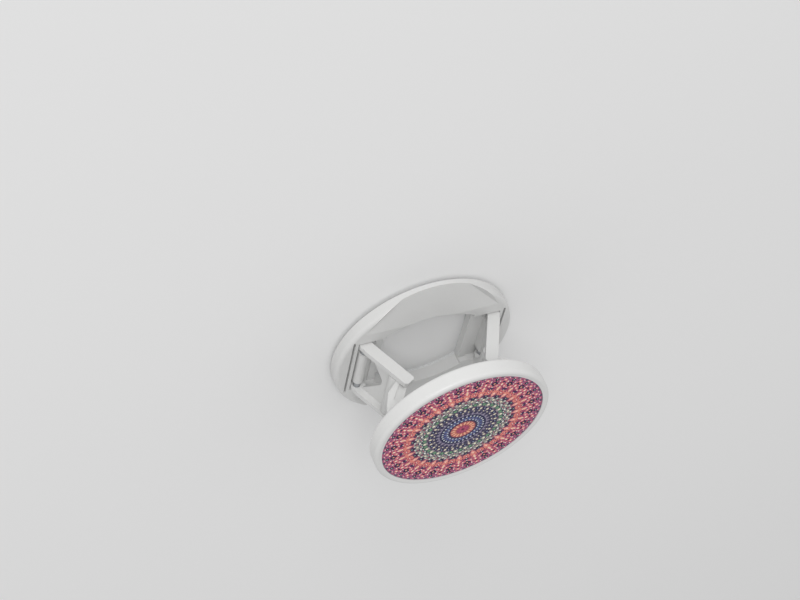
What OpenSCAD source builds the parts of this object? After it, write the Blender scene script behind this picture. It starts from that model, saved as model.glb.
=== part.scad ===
// Round phone grip on two folding legs. Millimetres, +Z up from the adhesive face.
// The grip is shown open. Each leg is a pair of links that folds at its knee.

/* [Base] */
// Diameter of the base
base_d = 40; // [38:0.5:44]
// Thickness of the foam adhesive pad
pad_t = 0.8; // [0.5:0.1:1.2]
// Distance of the pad's edge from the base's edge
pad_inset = 1.5; // [0.5:0.1:3]
// Height of the base plate at its wings
plate_h = 2.8; // [2.6:0.1:3.4]
// Radius of the wings' upper edge
edge_r = 0.9; // [0.5:0.1:1.2]
// Height of the thin edge a panel slopes down to
edge_h = 1; // [0.8:0.1:1.6]
// Half width of a panel where it meets the thin edge
panel_rim = 5; // [3:0.2:7]
// Half width between the wings at the thin edge
wing_rim = 9.2; // [8:0.2:11]
// Half width of a panel where its slope starts
panel_start = 15; // [13:0.5:16]
// Length of the window through the base, along Y
window_len = 23.2; // [20:0.2:24]
// Radius of the window's two long edges
window_r = 19; // [16:0.5:24]
// Width of the cross bar between the window and a hinge pocket
bar_w = 1.6; // [1.2:0.1:2]
// Width of the slot behind each hinge
slot_w = 0.5; // [0.4:0.1:1]
// Length of the slot behind each hinge
slot_len = 17.6; // [12:0.2:18]
// Depth of the slot
slot_depth = 1.3; // [0.6:0.1:1.6]
// Distance from the hinge pin to the slot
slot_off = 2.5; // [2.4:0.1:3]

/* [Legs] */
// Distance between the two base hinges
hinge_span = 29; // [28.6:0.2:29.4]
// Height of the base hinge above the adhesive face
hinge_z = 3.6; // [3.5:0.1:4]
// Distance between the two pins of a link
link_len = 8.8; // [8.6:0.1:9.2]
// Lean of the links from upright when open
open_lean = 26.5; // [20:0.5:32]
// Lean of the links from upright when folded
fold_lean = 80; // [76:0.5:80]
// Diameter of the pins
pin_d = 1.5; // [1.2:0.1:1.6]
// Plastic left round a pin
eye_wall = 0.55; // [0.5:0.05:0.6]
// Plastic left round a pin in the base knuckles
knuckle_wall = 0.35; // [0.3:0.05:0.6]
// Plastic left over the end of a pin
skin_t = 0.35; // [0.3:0.05:0.5]
// Reach of a lower link beyond the knee pin
knee_reach = 3.6; // [2.4:0.1:3.8]
// Width of a lower link, over its two cheeks
lower_w = 15.7; // [15:0.1:16]
// Thickness of a lower link's cheeks
cheek_t = 1.2; // [0.9:0.1:1.3]
// Reach of the cheeks on the outer side of the pins
cheek_out = 1.4; // [1.3:0.1:1.8]
// Reach of the cheeks on the inner side of the pins
cheek_in = 1.2; // [1:0.1:1.3]
// Thickness of the web between the cheeks
web_t = 1.1; // [0.8:0.1:1.2]
// Width of the pointed arch in a lower link's web
arch_w = 12.6; // [10:0.2:12.8]
// Height of the arch above the base hinge
arch_h = 5.8; // [4:0.2:6.2]
// Thickness of an upper link's arms
arm_t = 1.2; // [1:0.1:1.4]
// Reach of the arms on the inner side of the disc pin
arm_in = 1.2; // [0.8:0.1:1.2]
// Reach of the arms on the inner side of the knee
arm_knee = 2.6; // [1.3:0.1:2.7]
// Reach of the arms on the outer side of the disc pin
arm_out = 1.4; // [1.2:0.1:1.6]
// Depth of the recess in an arm's outer face
recess_t = 0.4; // [0.2:0.1:0.6]

/* [Disc] */
// Diameter of the disc
disc_d = 38.6; // [36:0.2:40]
// Thickness of the disc at its rim
disc_t = 3.6; // [3.2:0.1:4.5]
// Width of the rim round the printed face
rim_w = 1.5; // [1:0.1:2.5]
// Height of the rim above the printed face
rim_h = 0.3; // [0.1:0.05:0.5]
// Thickness of the printed face plate
face_t = 0.4; // [0.2:0.1:0.8]
// Diameter of the hinge plate let into the back
hinge_plate_d = 34; // [33.6:0.2:35]
// Thickness of the hinge plate
hinge_plate_t = 0.8; // [0.6:0.1:1]

/* [Clearances] */
// Radial play of a turning pin
run_fit = 0.04; // [0.02:0.01:0.06]
// Side play between pieces that turn past each other
side_gap = 0.25; // [0.2:0.05:0.3]
// Air between a round eye and the wall beside it
eye_gap = 0.2; // [0.15:0.05:0.3]
// Air at the end of a turning pin
end_gap = 0.05; // [0.05:0.05:0.1]
// Gap round a plate that is let in
seat_gap = 0.1; // [0.05:0.05:0.15]

/* [Hidden] */

white = [0.94, 0.94, 0.93];
steel = [0.72, 0.73, 0.75];
foam = [0.85, 0.86, 0.86];
print_red = [0.62, 0.16, 0.24];

round_fn = 96;
pin_fn = 48;
over = 0.5;

base_r = base_d / 2;
base_top = pad_t + plate_h;
hinge_x = hinge_span / 2;
eye_r = pin_d / 2 + eye_wall;
knuckle_r = pin_d / 2 + knuckle_wall;
bore_d = pin_d + 2 * run_fit;
barrel_r = eye_r + eye_gap;

// Lower links stand between the base hinge and the knee, upper links above it
rise = link_len * cos(open_lean);
knee_x = hinge_x - link_len * sin(open_lean);
knee_z = hinge_z + rise;
top_z = knee_z + rise;

// Widths along Y, from the outside inwards
lower_half = lower_w / 2;
cheek_inner = lower_half - cheek_t;
upper_half = cheek_inner - side_gap;
arm_inner = upper_half - arm_t;
knuckle_half = arm_inner - side_gap;
long_pin_half = lower_half - skin_t;
short_pin_half = upper_half - skin_t;

pocket_in = hinge_x - eye_r - eye_gap - 1.5;
pocket_out = hinge_x + eye_r + eye_gap;
pocket_half = lower_half + side_gap + 0.1;
pocket_z = hinge_z - eye_r - eye_gap;
window_half = pocket_in - bar_w;
bar_z = hinge_z - cheek_in * sin(fold_lean) + eye_r * cos(fold_lean) - 0.3;

disc_r = disc_d / 2;
plate_under = top_z + eye_r + eye_gap;
disc_back = plate_under - seat_gap;
disc_front = disc_back + disc_t;
face_z = disc_front - rim_h - face_t;
face_r = disc_r - rim_w - 0.1;

// Corner points of a quarter round, for turned profiles
function quarter(x, z, r, from) = [
    for (a = [from:18:from + 90]) [x + r * cos(a), z + r * sin(a)]
];

module turned(points) {
    rotate_extrude($fn = round_fn) polygon(points);
}

module along_y(half, r, fn = pin_fn) {
    rotate([90, 0, 0]) cylinder(h = 2 * half, r = r, center = true, $fn = fn);
}

// Window seen from above: two long arcs, flat ends and clipped corners
module window_shape(grow) {
    half_len = window_len / 2;
    intersection() {
        translate([0, half_len - window_r]) circle(r = window_r + grow, $fn = round_fn);
        translate([0, window_r - half_len]) circle(r = window_r + grow, $fn = round_fn);
        square([2 * (window_half + grow), window_len + 4 * grow], center = true);
        circle(r = norm([window_half, window_half]) - 0.5 + grow, $fn = round_fn);
    }
}

module adhesive_pad() {
    color(foam) linear_extrude(pad_t) difference() {
        circle(r = base_r - pad_inset, $fn = round_fn);
        window_shape(0.4);
    }
}

// The base plate at its full height, with a rounded upper edge
module blank() {
    turned(concat(
        [[0, pad_t], [base_r, pad_t]],
        quarter(base_r - edge_r, base_top - edge_r, edge_r, 0),
        [[0, base_top]]
    ));
}

// Cut over one panel: its floor slopes down to the rim and its flanks rise to the wings
module panel_cut() {
    start = window_len / 2 - 0.6;
    end = base_r + 1;
    slope = (plate_h - edge_h) / (base_r - start);
    end_z = pad_t + edge_h - slope * (end - base_r);
    back = start - over / slope;
    back_x = panel_start + (panel_start - panel_rim) * (start - back) / (end - start);
    top_x = panel_rim + (wing_rim - panel_rim) * (base_top + over - end_z) / (base_top - end_z);
    polyhedron(
        points = [
            [-back_x, back, base_top + over], [back_x, back, base_top + over],
            [panel_rim, end, end_z], [-panel_rim, end, end_z],
            [top_x, end, base_top + over], [-top_x, end, base_top + over]
        ],
        faces = [[0, 1, 2, 3], [0, 5, 4, 1], [1, 4, 2], [0, 3, 5], [2, 4, 5, 3]]
    );
}

// Room for one hinge: the pocket and the low cross bar beside it
module hinge_pocket() {
    translate([pocket_in, -pocket_half, pocket_z])
        cube([pocket_out - pocket_in, 2 * pocket_half, base_top]);
    translate([window_half - over, -pocket_half, bar_z])
        cube([pocket_in - window_half + 2 * over, 2 * pocket_half, base_top]);
}

module slot() {
    straight = slot_len - slot_w;
    translate([hinge_x + slot_off, 0, base_top - slot_depth]) linear_extrude(base_top) {
        square([slot_w, straight], center = true);
        for (side = [-1, 1]) translate([0, side * straight / 2]) circle(d = slot_w, $fn = 24);
    }
}

// The fixed knuckle in the middle of a base hinge
module base_knuckle() {
    translate([hinge_x, 0, hinge_z]) along_y(knuckle_half, knuckle_r);
    translate([hinge_x - knuckle_r, -knuckle_half, pocket_z - 0.1])
        cube([2 * knuckle_r, 2 * knuckle_half, hinge_z - pocket_z + 0.1]);
}

module base_plate() {
    color(white) difference() {
        union() {
            difference() {
                blank();
                panel_cut();
                mirror([0, 1, 0]) panel_cut();
                translate([0, 0, -over]) linear_extrude(base_top + 2 * over) window_shape(0);
                hinge_pocket();
                mirror([1, 0, 0]) hinge_pocket();
                slot();
                mirror([1, 0, 0]) slot();
            }
            base_knuckle();
            mirror([1, 0, 0]) base_knuckle();
        }
        for (side = [-1, 1]) translate([side * hinge_x, 0, hinge_z])
            along_y(lower_half, pin_d / 2);
    }
}

// Side view of a lower link's cheek: X is outwards, Y runs from the base hinge to the knee
module cheek_profile() {
    circle(r = eye_r, $fn = pin_fn);
    polygon([
        [-cheek_in, 0], [cheek_in, 0], [cheek_out, 1.2],
        [cheek_out, link_len + knee_reach - 0.5], [cheek_out - 0.5, link_len + knee_reach],
        [0.4 - cheek_in, link_len + knee_reach], [-cheek_in, link_len + knee_reach - 0.4]
    ]);
}

module lower_link_body() {
    web_top = link_len - barrel_r - eye_gap;
    difference() {
        union() {
            for (side = [-1, 1])
                translate([0, side * (lower_half - cheek_t / 2), 0]) rotate([90, 0, 0])
                    linear_extrude(cheek_t, center = true) cheek_profile();
            translate([-cheek_in, -cheek_inner - 0.1, 0.4])
                cube([web_t, 2 * cheek_inner + 0.2, web_top - 0.4]);
        }
        along_y(long_pin_half + end_gap, bore_d / 2);
        translate([0, 0, link_len]) along_y(long_pin_half, pin_d / 2);
        rotate([90, 0, 90]) linear_extrude(4 * web_t, center = true) arch_shape();
    }
}

// Pointed arch in the lower link's web, with its feet below the hinge
module arch_shape() {
    foot = eye_r + eye_gap;
    polygon([
        [arch_w / 2, -eye_r], [arch_w / 2, foot], [1, arch_h - 0.2], [0, arch_h],
        [-1, arch_h - 0.2], [-arch_w / 2, foot], [-arch_w / 2, -eye_r]
    ]);
}

// Side view of an upper link's arm: X is outwards, Y runs from the knee to the disc hinge
module arm_profile() {
    translate([0, link_len]) circle(r = eye_r, $fn = pin_fn);
    polygon([
        [-arm_knee, 0.6], [-barrel_r + 0.2, -0.6], [0, 1.5],
        [arm_out, link_len / 2 + 0.3], [arm_out, link_len - 0.8],
        [eye_r * 0.8, link_len + 0.6], [0, link_len + 0.6], [-arm_in, link_len]
    ]);
}

// Recess in an arm's outer face, along its inner side
module arm_recess() {
    polygon([
        [0.5 - arm_knee, 1.8], [-0.7, 1.8], [0.2, link_len - 2.6],
        [0.5 - arm_in, link_len - 2.2], [0.3 - arm_in, link_len - 2.6]
    ]);
}

module upper_link_body() {
    web_top = link_len - eye_r - eye_gap - 0.1;
    difference() {
        union() {
            for (side = [-1, 1])
                translate([0, side * (upper_half - arm_t / 2), 0]) rotate([90, 0, 0])
                    linear_extrude(arm_t, center = true) arm_profile();
            along_y(upper_half, barrel_r);
            translate([-arm_in, -arm_inner - 0.1, 0.5])
                cube([web_t, 2 * arm_inner + 0.2, web_top - 0.5]);
        }
        for (side = [-1, 1])
            translate([0, side * upper_half, 0]) rotate([90, 0, 0])
                linear_extrude(2 * recess_t, center = true) arm_recess();
        along_y(upper_half + over, bore_d / 2);
        translate([0, 0, link_len]) along_y(short_pin_half + end_gap, bore_d / 2);
    }
}

// Places a link drawn upright at its lower pin, leaning inwards below the knee
module right_lower() {
    translate([hinge_x, 0, hinge_z]) rotate([0, -open_lean, 0]) children();
}

module right_upper() {
    translate([knee_x, 0, knee_z]) rotate([0, open_lean, 0]) children();
}

module lower_link_left() { color(white) mirror([1, 0, 0]) right_lower() lower_link_body(); }
module lower_link_right() { color(white) right_lower() lower_link_body(); }
module upper_link_left() { color(white) mirror([1, 0, 0]) right_upper() upper_link_body(); }
module upper_link_right() { color(white) right_upper() upper_link_body(); }

// A pin across the grip at the place x, z
module pin(x, z, half) {
    color(steel) translate([x, 0, z]) along_y(half, pin_d / 2);
}

module base_pin_left() { pin(-hinge_x, hinge_z, long_pin_half); }
module base_pin_right() { pin(hinge_x, hinge_z, long_pin_half); }
module knee_pin_left() { pin(-knee_x, knee_z, long_pin_half); }
module knee_pin_right() { pin(knee_x, knee_z, long_pin_half); }
module disc_pin_left() { pin(-hinge_x, top_z, short_pin_half); }
module disc_pin_right() { pin(hinge_x, top_z, short_pin_half); }

// Knuckle under the hinge plate that carries a disc pin
module disc_knuckle() {
    translate([hinge_x, 0, top_z]) along_y(knuckle_half, eye_r);
    translate([hinge_x - eye_r, -knuckle_half, top_z])
        cube([2 * eye_r, 2 * knuckle_half, plate_under - top_z + 0.1]);
}

module hinge_plate() {
    color(white) difference() {
        union() {
            translate([0, 0, plate_under]) cylinder(h = hinge_plate_t, d = hinge_plate_d, $fn = round_fn);
            disc_knuckle();
            mirror([1, 0, 0]) disc_knuckle();
        }
        for (side = [-1, 1]) translate([side * hinge_x, 0, top_z])
            along_y(upper_half, pin_d / 2);
    }
}

module disc_shell() {
    seat_r = hinge_plate_d / 2 + seat_gap;
    seat_z = plate_under + hinge_plate_t;
    edge = 0.7;
    crown = rim_w / 2;
    color(white) turned(concat(
        [[0, seat_z], [seat_r, seat_z], [seat_r, disc_back]],
        quarter(disc_r - edge, disc_back + edge, edge, -90),
        quarter(disc_r - crown, disc_front - crown, crown, 0),
        [[disc_r - rim_w, disc_front - rim_h / 2], [disc_r - rim_w, face_z], [0, face_z]]
    ));
}

module printed_face() {
    color(print_red) translate([0, 0, face_z]) cylinder(h = face_t, r = face_r, $fn = round_fn);
}

adhesive_pad();
base_plate();
base_pin_left();
base_pin_right();
lower_link_left();
lower_link_right();
knee_pin_left();
knee_pin_right();
upper_link_left();
upper_link_right();
disc_pin_left();
disc_pin_right();
hinge_plate();
disc_shell();
printed_face();
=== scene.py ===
import math
import bpy
import bmesh
from mathutils import Matrix, Vector


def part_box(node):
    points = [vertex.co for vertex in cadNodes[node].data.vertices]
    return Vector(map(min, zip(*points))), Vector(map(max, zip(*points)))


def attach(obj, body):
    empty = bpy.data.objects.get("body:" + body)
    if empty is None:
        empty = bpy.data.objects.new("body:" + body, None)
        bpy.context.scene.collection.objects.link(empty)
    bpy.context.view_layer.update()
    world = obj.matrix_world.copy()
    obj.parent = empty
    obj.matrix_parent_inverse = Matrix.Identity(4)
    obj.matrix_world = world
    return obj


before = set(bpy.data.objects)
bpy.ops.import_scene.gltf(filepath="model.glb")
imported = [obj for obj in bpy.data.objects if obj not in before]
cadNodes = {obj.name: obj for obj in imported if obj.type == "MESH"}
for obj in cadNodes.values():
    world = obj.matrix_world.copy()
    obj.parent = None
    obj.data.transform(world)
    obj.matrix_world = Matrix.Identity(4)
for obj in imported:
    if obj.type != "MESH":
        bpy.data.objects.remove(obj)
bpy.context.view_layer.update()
millimetre = 0.001


# small helpers for the node trees


def inkTone(hexCode):  # a colour as a paint chart gives it, made linear for the shader
    parts = [int(hexCode[i:i + 2], 16) / 255 for i in (0, 2, 4)]
    return tuple(p / 12.92 if p <= 0.04045 else ((p + 0.055) / 1.055) ** 2.4 for p in parts) + (1.0,)


def addNode(tree, kind, inputs=None, **settings):
    node = tree.nodes.new(kind)
    for key, value in settings.items():
        setattr(node, key, value)
    for key, value in (inputs or {}).items():
        if isinstance(value, bpy.types.NodeSocket):
            tree.links.new(value, node.inputs[key])
        else:
            node.inputs[key].default_value = value
    return node


def calc(tree, operation, first, second=0.0, third=0.0):
    values = {0: first, 1: second, 2: third}
    return addNode(tree, "ShaderNodeMath", values, operation=operation).outputs[0]


def noise(tree, place, scale, detail=2.0):
    return addNode(tree, "ShaderNodeTexNoise", {"Vector": place, "Scale": scale, "Detail": detail}).outputs[0]


def newMaterial(name):
    material = bpy.data.materials.new(name)
    material.use_nodes = True
    tree = material.node_tree
    place = addNode(tree, "ShaderNodeTexCoord").outputs["Object"]
    return material, tree, tree.nodes["Principled BSDF"], place


def tint(tree, factor, low, high):  # a soft change between two close colours
    ramp = addNode(tree, "ShaderNodeValToRGB", {0: factor})
    ramp.color_ramp.elements[0].color = low
    ramp.color_ramp.elements[1].color = high
    return ramp.outputs[0]


def bumpFrom(tree, height, settings):
    values = {"Height": height, "Strength": settings["bump"], "Distance": settings["bumpDepth"] * millimetre}
    return addNode(tree, "ShaderNodeBump", values).outputs[0]


def roughFrom(tree, factor, settings):  # varies about the roughness by half the spread
    spread = settings["roughSpread"]
    return calc(tree, "MULTIPLY_ADD", factor, spread, settings["roughness"] - spread / 2)


# moulded white plastic: the base and legs, and the slightly paler disc
plastic = {
    "frame": {"pale": "D6D6D5", "shade": "D0D0CF"},
    "disc": {"pale": "DCDCDB", "shade": "D6D6D5"},
    "roughness": 0.38, "roughSpread": 0.10, "ior": 1.46,
    "cloud": 90.0, "grain": 5200.0,  # scales of the faint cloud and of the fine grain
    "bump": 0.12, "bumpDepth": 0.02,  # depth in mm
}


def mouldedPlastic(piece):
    material, tree, shader, place = newMaterial("mouldedWhite" + piece.capitalize())
    tones = plastic[piece]
    cloud = noise(tree, place, plastic["cloud"], detail=3.0)
    grain = noise(tree, place, plastic["grain"])
    pale = tint(tree, cloud, inkTone(tones["shade"]), inkTone(tones["pale"]))
    tree.links.new(pale, shader.inputs["Base Color"])
    tree.links.new(roughFrom(tree, cloud, plastic), shader.inputs["Roughness"])
    tree.links.new(bumpFrom(tree, grain, plastic), shader.inputs["Normal"])
    shader.inputs["IOR"].default_value = plastic["ior"]
    return material


# steel pins, with the fine rings that turning leaves
steel = {
    "pale": "C4C6C9", "shade": "9FA2A6",
    "roughness": 0.32, "roughSpread": 0.2,
    "rings": 9000.0, "stretch": (0.05, 1.0, 0.05),  # scale of the rings, which run round the pin
    "bump": 0.15, "bumpDepth": 0.02,
}


def turnedSteel():
    material, tree, shader, place = newMaterial("turnedSteel")
    stretched = addNode(tree, "ShaderNodeMapping", {"Vector": place, "Scale": steel["stretch"]}).outputs[0]
    rings = noise(tree, stretched, steel["rings"])
    bright = tint(tree, rings, inkTone(steel["shade"]), inkTone(steel["pale"]))
    tree.links.new(bright, shader.inputs["Base Color"])
    tree.links.new(roughFrom(tree, rings, steel), shader.inputs["Roughness"])
    tree.links.new(bumpFrom(tree, rings, steel), shader.inputs["Normal"])
    shader.inputs["Metallic"].default_value = 1.0
    return material


# foam adhesive pad, with its open cells
foam = {
    "pale": "E6E7E7", "shade": "C9CBCB", "roughness": 0.85,
    "cells": 3200.0, "bump": 0.3, "bumpDepth": 0.05,
}


def foamPad():
    material, tree, shader, place = newMaterial("foamPad")
    cells = addNode(tree, "ShaderNodeTexVoronoi", {"Vector": place, "Scale": foam["cells"]})
    tone = tint(tree, cells.outputs["Distance"], inkTone(foam["shade"]), inkTone(foam["pale"]))
    tree.links.new(tone, shader.inputs["Base Color"])
    tree.links.new(bumpFrom(tree, cells.outputs["Distance"], foam), shader.inputs["Normal"])
    shader.inputs["Roughness"].default_value = foam["roughness"]
    return material


# the ground of the print: rings of colour, some with a wavy edge, broken up into fine cells
printGround = {
    "lobes": 24,
    "wave": 0.55,  # height of the wavy edges, mm
    "roughness": 0.52, "roughSpread": 0.08, "specular": 0.28,
    "grain": 2600.0, "bump": 0.06, "bumpDepth": 0.02,
    "cellAcross": 0.42,  # mm
    "mainShare": 0.55,  # how much of a ring has its main colour
    "rings": [  # outer radius in mm, main colour, colour of the fine cells, 1 if its outer edge is wavy
        (1.45, "8A3050", "A5496A", 0),
        (2.75, "DE8C74", "B8605E", 0),
        (3.25, "3C3454", "2B2B4A", 0),
        (5.15, "20204A", "66648A", 0),
        (6.55, "443E5C", "8A8096", 0),
        (7.95, "4C4660", "9E929E", 0),
        (9.15, "4C585C", "B0AEA2", 0),
        (10.75, "3A384E", "9E9490", 0),
        (11.15, "6C3458", "CC7E84", 1),
        (12.95, "E2847A", "A8486A", 1),
        (14.20, "CA5C72", "6C2C5C", 0),
        (16.30, "8A3A66", "D67480", 0),
        (18.60, "B85C80", "5C4468", 0),
    ],
}


def ringField(tree, share, main, fine):  # a ring's main colour, with the fine cells on it
    fineCell = calc(tree, "GREATER_THAN", share, printGround["mainShare"])
    return addNode(tree, "ShaderNodeMix", {0: fineCell, 6: inkTone(main), 7: inkTone(fine)},
                   data_type="RGBA").outputs[2]


def printedGround():
    material, tree, shader, place = newMaterial("printedGround")
    across = addNode(tree, "ShaderNodeSeparateXYZ", {0: place})
    x, y = across.outputs[0], across.outputs[1]
    squares = calc(tree, "ADD", calc(tree, "MULTIPLY", x, x), calc(tree, "MULTIPLY", y, y))
    radius = calc(tree, "DIVIDE", calc(tree, "SQRT", squares), millimetre)
    angle = calc(tree, "ARCTAN2", y, x)
    wave = calc(tree, "ABSOLUTE", calc(tree, "SINE", calc(tree, "MULTIPLY", angle, printGround["lobes"] / 2)))
    wave = calc(tree, "MULTIPLY", wave, printGround["wave"] * 2)
    # fine cells that mirror about the axis of each lobe; each picks one of its ring's two colours
    lobe = math.tau / printGround["lobes"]
    offAxis = calc(tree, "MULTIPLY", calc(tree, "PINGPONG", angle, lobe / 2), radius)
    mirrored = addNode(tree, "ShaderNodeCombineXYZ", {0: radius, 1: offAxis}).outputs[0]
    cell = addNode(tree, "ShaderNodeTexVoronoi",
                   {"Vector": mirrored, "Scale": 1.0 / printGround["cellAcross"]})
    share = addNode(tree, "ShaderNodeSeparateColor", {0: cell.outputs["Color"]}).outputs[0]
    *innerRings, (_, main, fine, _) = printGround["rings"]
    colour = ringField(tree, share, main, fine)
    for outer, main, fine, wavy in reversed(innerRings):
        field = ringField(tree, share, main, fine)
        edge = calc(tree, "SUBTRACT", radius, wave) if wavy else radius
        inside = calc(tree, "LESS_THAN", edge, outer)
        colour = addNode(tree, "ShaderNodeMix", {0: inside, 6: colour, 7: field}, data_type="RGBA").outputs[2]
    tree.links.new(colour, shader.inputs["Base Color"])
    grain = noise(tree, place, printGround["grain"])
    tree.links.new(roughFrom(tree, grain, printGround), shader.inputs["Roughness"])
    tree.links.new(bumpFrom(tree, grain, printGround), shader.inputs["Normal"])
    shader.inputs["Specular IOR Level"].default_value = printGround["specular"]
    return material


# the ink of the motifs, which carry their own colour in the attribute "ink"
printInk = {"speck": 4200.0, "darkest": 0.75, "spread": 0.5}  # scale of the specks, and how bright they are


def printedInk():
    material, tree, shader, place = newMaterial("printedInk")
    ink = addNode(tree, "ShaderNodeAttribute", attribute_name="ink")
    speck = noise(tree, place, printInk["speck"])
    value = calc(tree, "MULTIPLY_ADD", speck, printInk["spread"], printInk["darkest"])
    shaded = addNode(tree, "ShaderNodeHueSaturation", {"Color": ink.outputs["Color"], "Value": value})
    tree.links.new(shaded.outputs[0], shader.inputs["Base Color"])
    tree.links.new(roughFrom(tree, speck, printGround), shader.inputs["Roughness"])
    shader.inputs["Specular IOR Level"].default_value = printGround["specular"]
    return material


frameWhite, pinSteel, inkMaterial = mouldedPlastic("frame"), turnedSteel(), printedInk()
finishes = {"adhesive_pad": foamPad(), "disc_shell": mouldedPlastic("disc"), "printed_face": printedGround()}
for nodeName, cadNode in cadNodes.items():
    cadNode.data.materials.clear()
    cadNode.data.materials.append(pinSteel if "_pin_" in nodeName else finishes.get(nodeName, frameWhite))
print("materials on", len(cadNodes), "CAD nodes")


# the soft edges of moulded parts
softEdge = {"width": 0.14, "segments": 3, "sharperThan": 40.0, "weld": 0.002}  # mm, and degrees


def softenEdges(part):
    weld = part.modifiers.new("weld", "WELD")
    weld.merge_threshold = softEdge["weld"] * millimetre
    edge = part.modifiers.new("softEdge", "BEVEL")
    edge.width = softEdge["width"] * millimetre
    edge.segments = softEdge["segments"]
    edge.limit_method = "ANGLE"
    edge.angle_limit = math.radians(softEdge["sharperThan"])
    edge.harden_normals = True


for nodeName, cadNode in cadNodes.items():
    if "link" in nodeName:
        softenEdges(cadNode)
print("edges softened")


# the motifs of the print, one ring of them for each line
motifs = {
    "film": 0.012,  # how much the lowest motifs stand out of the face, mm
    "step": 0.004,  # how much a motif that lies on another stands out further, mm
    "rings": [  # how many, radius, half length, half width, turn in steps, corners, sharpness, colour
        (8, 0.80, 0.50, 0.26, 0.0, 12, 1.0, "B85070"),
        (1, 0.00, 0.34, 0.34, 0.0, 16, 0.0, "5C1F40"),
        (16, 1.62, 0.16, 0.16, 0.5, 8, 0.0, "8E2F48"),
        (16, 2.20, 0.50, 0.22, 0.0, 12, 1.0, "F2B898"),
        (32, 2.80, 0.15, 0.15, 0.5, 8, 0.0, "6C2C4C"),
        (24, 3.42, 0.20, 0.20, 0.0, 8, 0.0, "C4CCD8"),
        (24, 3.95, 0.36, 0.18, 0.5, 10, 1.0, "48619A"),
        (24, 4.02, 0.17, 0.17, 0.0, 8, 0.0, "16183A"),
        (32, 4.52, 0.22, 0.20, 0.0, 8, 0.0, "D6DAE0"),
        (32, 4.98, 0.19, 0.19, 0.5, 8, 0.0, "15183A"),
        (32, 5.60, 0.36, 0.18, 0.0, 10, 1.0, "A49AAE"),
        (32, 5.95, 0.24, 0.24, 0.5, 4, 0.0, "1E1E40"),
        (32, 6.38, 0.18, 0.18, 0.0, 8, 0.0, "E6DCC6"),
        (24, 7.25, 0.52, 0.48, 0.0, 12, 0.0, "18163A"),
        (24, 7.25, 0.17, 0.17, 0.0, 8, 0.0, "A8B2D0"),
        (24, 7.15, 0.30, 0.28, 0.5, 8, 0.0, "EADFC4"),
        (24, 7.70, 0.16, 0.16, 0.5, 8, 0.0, "7A3C5C"),
        (24, 8.50, 0.55, 0.33, 0.5, 12, 1.0, "6E9C76"),
        (24, 8.42, 0.32, 0.30, 0.0, 8, 0.0, "F4ECD2"),
        (24, 8.95, 0.22, 0.22, 0.5, 8, 0.0, "1A1C40"),
        (24, 9.35, 0.60, 0.34, 0.0, 12, 1.0, "34686E"),
        (24, 9.30, 0.20, 0.20, 0.0, 8, 0.0, "D8788C"),
        (24, 9.45, 0.26, 0.26, 0.5, 8, 0.0, "F2F2EE"),
        (48, 9.05, 0.14, 0.14, 0.5, 8, 0.0, "E6E8DC"),
        (24, 10.10, 0.46, 0.32, 0.5, 10, 0.6, "2A1E48"),
        (24, 10.05, 0.30, 0.28, 0.0, 8, 0.0, "EEE4C8"),
        (24, 10.12, 0.16, 0.16, 0.5, 8, 0.0, "D86C80"),
        (48, 10.62, 0.20, 0.20, 0.5, 8, 0.0, "DCE4DC"),
        (24, 11.15, 0.50, 0.60, 0.0, 12, 1.0, "1E1440"),
        (24, 11.25, 0.20, 0.20, 0.0, 8, 0.0, "8EA29A"),
        (24, 11.80, 0.70, 0.46, 0.5, 10, 1.0, "F4A496"),
        (24, 12.05, 0.30, 0.16, 0.5, 10, 1.0, "FBDCC4"),
        (24, 12.50, 0.50, 0.40, 0.0, 10, 1.0, "B84262"),
        (24, 12.45, 0.18, 0.18, 0.0, 8, 0.0, "FBE6CC"),
        (48, 13.00, 0.28, 0.20, 0.5, 8, 1.0, "5A2050"),
        (48, 12.25, 0.26, 0.15, 0.5, 8, 1.0, "7C2850"),
        (24, 13.70, 0.72, 0.44, 0.5, 12, 1.0, "EE9A90"),
        (24, 13.75, 0.40, 0.20, 0.5, 10, 1.0, "F0D4AE"),
        (24, 13.60, 0.62, 0.42, 0.0, 10, 1.0, "3A1A4A"),
        (48, 14.20, 0.19, 0.19, 0.0, 8, 0.0, "F4E2D8"),
        (24, 15.30, 1.00, 0.42, 0.0, 12, 1.0, "1E1440"),
        (24, 15.30, 0.34, 1.05, 0.0, 16, 1.0, "1E1440"),
        (24, 15.30, 0.24, 0.24, 0.0, 8, 0.0, "EEA888"),
        (24, 15.30, 0.75, 0.40, 0.5, 12, 1.0, "CE5A68"),
        (24, 15.10, 0.38, 0.22, 0.5, 10, 1.0, "FCEED4"),
        (24, 15.92, 0.30, 0.34, 0.5, 8, 0.0, "2E1846"),
        (48, 14.55, 0.19, 0.19, 0.5, 8, 0.0, "F6D4C0"),
        (24, 16.60, 0.40, 0.56, 0.5, 12, 1.0, "E07E84"),
        (24, 16.60, 0.20, 0.20, 0.5, 8, 0.0, "F6EAD0"),
        (24, 16.70, 0.46, 0.50, 0.0, 10, 0.0, "221540"),
        (24, 16.70, 0.15, 0.15, 0.0, 8, 0.0, "C8D0C8"),
        (48, 16.05, 0.22, 0.16, 0.5, 8, 0.0, "FBEADC"),
        (48, 15.45, 0.15, 0.15, 0.5, 8, 0.0, "F2E4DA"),
        (48, 13.30, 0.15, 0.15, 0.0, 8, 0.0, "FBE8D8"),
        (72, 17.25, 0.17, 0.17, 0.5, 8, 0.0, "4A5E5A"),
        (72, 17.20, 0.15, 0.15, 0.0, 8, 0.0, "F4E0D4"),
    ],
}


def addInput(tree, name, kind, value):
    socket = tree.interface.new_socket(name=name, in_out="INPUT", socket_type=kind)
    if value is not None:
        socket.default_value = value
    return socket.identifier


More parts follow.
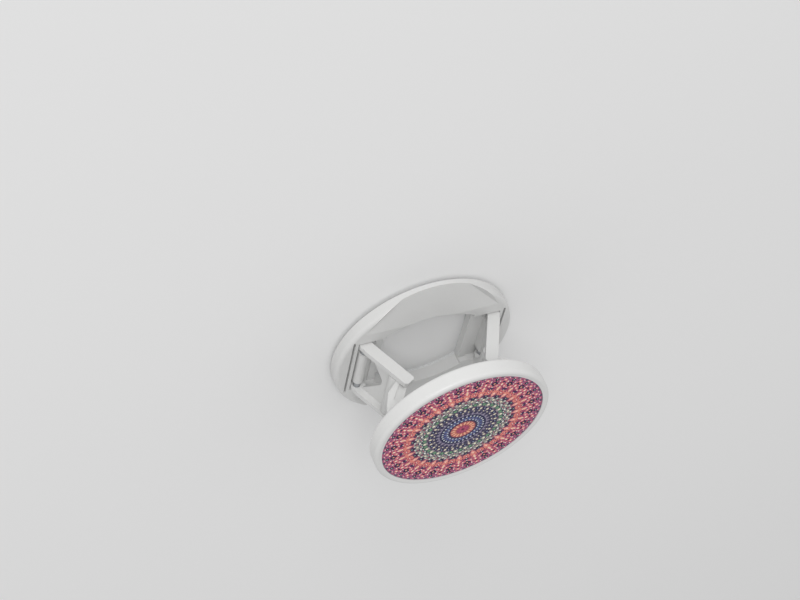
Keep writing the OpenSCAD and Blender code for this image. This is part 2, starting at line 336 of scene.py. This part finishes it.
def motifRingTree():  # one ring of flat motifs round the middle of the disc
    tree = bpy.data.node_groups.new("motifRing", "GeometryNodeTree")
    names = {}
    for name, kind, value in (("Count", "NodeSocketInt", 24), ("Radius", "NodeSocketFloat", 0.01),
                              ("Half length", "NodeSocketFloat", 0.0005),
                              ("Half width", "NodeSocketFloat", 0.0003),
                              ("Turn", "NodeSocketFloat", 0.0), ("Corners", "NodeSocketInt", 12),
                              ("Sharpness", "NodeSocketFloat", 1.0), ("Height", "NodeSocketFloat", 0.0),
                              ("Film", "NodeSocketFloat", 0.00003), ("Ink", "NodeSocketColor", None),
                              ("Material", "NodeSocketMaterial", None)):
        names[name] = addInput(tree, name, kind, value)
    tree.interface.new_socket(name="Geometry", in_out="OUTPUT", socket_type="NodeSocketGeometry")
    entry = addNode(tree, "NodeGroupInput").outputs
    # a flat prism, pointed at both ends as far as Sharpness says
    prism = addNode(tree, "GeometryNodeMeshCylinder",
                    {"Vertices": entry["Corners"], "Radius": 1.0, "Depth": entry["Film"]}, fill_type="NGON")
    spot = addNode(tree, "ShaderNodeSeparateXYZ", {0: addNode(tree, "GeometryNodeInputPosition").outputs[0]})
    pinch = calc(tree, "POWER", calc(tree, "ABSOLUTE", spot.outputs[1]), entry["Sharpness"])
    length = calc(tree, "MULTIPLY", spot.outputs[0], entry["Half length"])
    width = calc(tree, "MULTIPLY", calc(tree, "MULTIPLY", spot.outputs[1], pinch), entry["Half width"])
    shape = addNode(tree, "ShaderNodeCombineXYZ", {0: length, 1: width, 2: spot.outputs[2]})
    motif = addNode(tree, "GeometryNodeSetPosition",
                    {"Geometry": prism.outputs["Mesh"], "Position": shape.outputs[0]})
    # points round the ring, each turned to face outwards
    points = addNode(tree, "GeometryNodePoints", {"Count": entry["Count"]})
    step = calc(tree, "DIVIDE", math.tau, entry["Count"])
    order = calc(tree, "ADD", addNode(tree, "GeometryNodeInputIndex").outputs[0], entry["Turn"])
    angle = calc(tree, "MULTIPLY", order, step)
    around = addNode(tree, "ShaderNodeCombineXYZ", {
        0: calc(tree, "MULTIPLY", calc(tree, "COSINE", angle), entry["Radius"]),
        1: calc(tree, "MULTIPLY", calc(tree, "SINE", angle), entry["Radius"]), 2: entry["Height"]})
    placed = addNode(tree, "GeometryNodeSetPosition",
                     {"Geometry": points.outputs[0], "Position": around.outputs[0]})
    facing = addNode(tree, "ShaderNodeCombineXYZ", {2: angle})
    copies = addNode(tree, "GeometryNodeInstanceOnPoints", {
        "Points": placed.outputs[0], "Instance": motif.outputs[0], "Rotation": facing.outputs[0]})
    solid = addNode(tree, "GeometryNodeRealizeInstances", {0: copies.outputs[0]})
    inked = addNode(tree, "GeometryNodeStoreNamedAttribute",
                    {"Geometry": solid.outputs[0], "Name": "ink", "Value": entry["Ink"]},
                    data_type="FLOAT_COLOR", domain="POINT")
    done = addNode(tree, "GeometryNodeSetMaterial",
                   {"Geometry": inked.outputs[0], "Material": entry["Material"]})
    last = addNode(tree, "NodeGroupOutput")
    tree.links.new(done.outputs[0], last.inputs[0])
    return tree, names


def plainMesh(obj, name):  # what the modifiers make of it, as a mesh of its own
    depsgraph = bpy.context.evaluated_depsgraph_get()
    mesh = bpy.data.meshes.new_from_object(obj.evaluated_get(depsgraph), depsgraph=depsgraph)
    mesh.name = name
    return mesh


def motifCentres(ring):
    count, radius, turn = ring[0], ring[1], ring[4]
    angles = [(k + turn) * math.tau / count for k in range(count)]
    return [(radius * math.cos(a), radius * math.sin(a)) for a in angles]


def motifsTouch(ring, other):
    reach = max(ring[2:4]) + max(other[2:4])
    return abs(ring[1] - other[1]) < reach and any(
        math.dist(a, b) < reach for a in motifCentres(ring) for b in motifCentres(other))


def motifLayers(rings):  # a motif lies one layer above those that it may cover
    layers = []
    for place, ring in enumerate(rings):
        under = [layers[k] for k in range(place) if motifsTouch(ring, rings[k])]
        layers.append(max(under, default=-1) + 1)
    return layers


def printMotifs():
    tree, names = motifRingTree()
    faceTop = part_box("printed_face")[1][2]
    layers = motifLayers(motifs["rings"])
    print("print has", max(layers) + 1, "layers")
    meshes = []
    for layer, (count, radius, length, width, turn, corners, sharp, ink) in zip(layers, motifs["rings"]):
        seed = bpy.data.objects.new("motifSeed", bpy.data.meshes.new("motifSeed"))
        bpy.context.collection.objects.link(seed)
        ring = seed.modifiers.new("ring", "NODES")
        ring.node_group = tree
        values = {"Count": count, "Radius": radius * millimetre, "Half length": length * millimetre,
                  "Half width": width * millimetre, "Turn": turn, "Corners": corners, "Sharpness": sharp,
                  "Height": faceTop, "Film": 2 * (motifs["film"] + layer * motifs["step"]) * millimetre,
                  "Ink": inkTone(ink), "Material": inkMaterial}
        for key, value in values.items():
            ring[names[key]] = value
        meshes.append(plainMesh(seed, "ring"))
        bpy.data.objects.remove(seed)
    whole = bmesh.new()
    for mesh in meshes:
        whole.from_mesh(mesh)
    joined = bpy.data.meshes.new("printMotifs")
    whole.to_mesh(joined)
    whole.free()
    joined.shade_flat()
    joined.materials.append(inkMaterial)
    piece = bpy.data.objects.new("printMotifs", joined)
    bpy.context.collection.objects.link(piece)
    return piece


motifPiece = printMotifs()
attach(motifPiece, "disc")
print("print has", len(motifPiece.data.polygons), "faces")


# floor, lights and camera
studio = {
    "floor": {"tone": "F0F0F0", "shade": 0.985, "cloud": 8.0, "half": 3.0, "roughness": 0.9, "specular": 0.1},
    "key": {"place": (0.38, -0.92, 0.62), "size": 0.45, "power": 4.0},
    "fill": {"place": (0.20, -0.96, 0.17), "size": 0.4, "power": 2.1},
    "sky": 0.61,
}
camera = {"place": (0.11944, -0.27293, 0.17076), "azimuth": 23.644, "elevation": 31.271, "roll": 153.971,
          "focalPixels": 1625.5, "imageWidth": 800, "sensor": 36.0, "nearest": 0.01}


def paleFloor():
    material, tree, shader, place = newMaterial("paleFloor")
    look = studio["floor"]
    tone = inkTone(look["tone"])
    shade = tuple(part * look["shade"] for part in tone[:3]) + (1.0,)
    tree.links.new(tint(tree, noise(tree, place, look["cloud"]), shade, tone), shader.inputs["Base Color"])
    shader.inputs["Roughness"].default_value = look["roughness"]
    shader.inputs["Specular IOR Level"].default_value = look["specular"]
    mesh = bpy.data.meshes.new("paleFloor")
    half = look["half"]
    corners = [(-half, -half, 0), (half, -half, 0), (half, half, 0), (-half, half, 0)]
    mesh.from_pydata(corners, [], [(0, 1, 2, 3)])
    mesh.materials.append(material)
    floor = bpy.data.objects.new("paleFloor", mesh)
    bpy.context.collection.objects.link(floor)


def softLight(name, settings):
    light = bpy.data.lights.new(name, "AREA")
    light.shape = "DISK"
    light.size = settings["size"]
    light.energy = settings["power"]
    lamp = bpy.data.objects.new(name, light)
    lamp.location = settings["place"]
    lamp.rotation_euler = (-Vector(settings["place"])).to_track_quat("-Z", "Y").to_euler()
    bpy.context.collection.objects.link(lamp)


def softSky():
    world = bpy.data.worlds.new("softSky")
    world.use_nodes = True
    sky = world.node_tree.nodes["Background"]
    sky.inputs["Color"].default_value = (1, 1, 1, 1)
    sky.inputs["Strength"].default_value = studio["sky"]
    bpy.context.scene.world = world


def pictureCamera():
    lens = bpy.data.cameras.new("pictureCamera")
    lens.sensor_width = camera["sensor"]
    lens.lens = camera["focalPixels"] / camera["imageWidth"] * camera["sensor"]
    lens.clip_start = camera["nearest"]
    obj = bpy.data.objects.new("pictureCamera", lens)
    azimuth, elevation, roll = (math.radians(camera[k]) for k in ("azimuth", "elevation", "roll"))
    back = Vector((math.sin(azimuth) * math.cos(elevation), -math.cos(azimuth) * math.cos(elevation),
                   math.sin(elevation)))
    level = Vector((math.cos(azimuth), math.sin(azimuth), 0))
    top = back.cross(level)
    right = level * math.cos(roll) + top * math.sin(roll)
    up = top * math.cos(roll) - level * math.sin(roll)
    obj.matrix_world = Matrix.Translation(camera["place"]) @ Matrix((right, up, back)).transposed().to_4x4()
    bpy.context.collection.objects.link(obj)
    bpy.context.scene.camera = obj


paleFloor()
softLight("keyLight", studio["key"])
softLight("fillLight", studio["fill"])
softSky()
pictureCamera()
bpy.context.scene.view_settings.view_transform = "Standard"
print("studio ready")
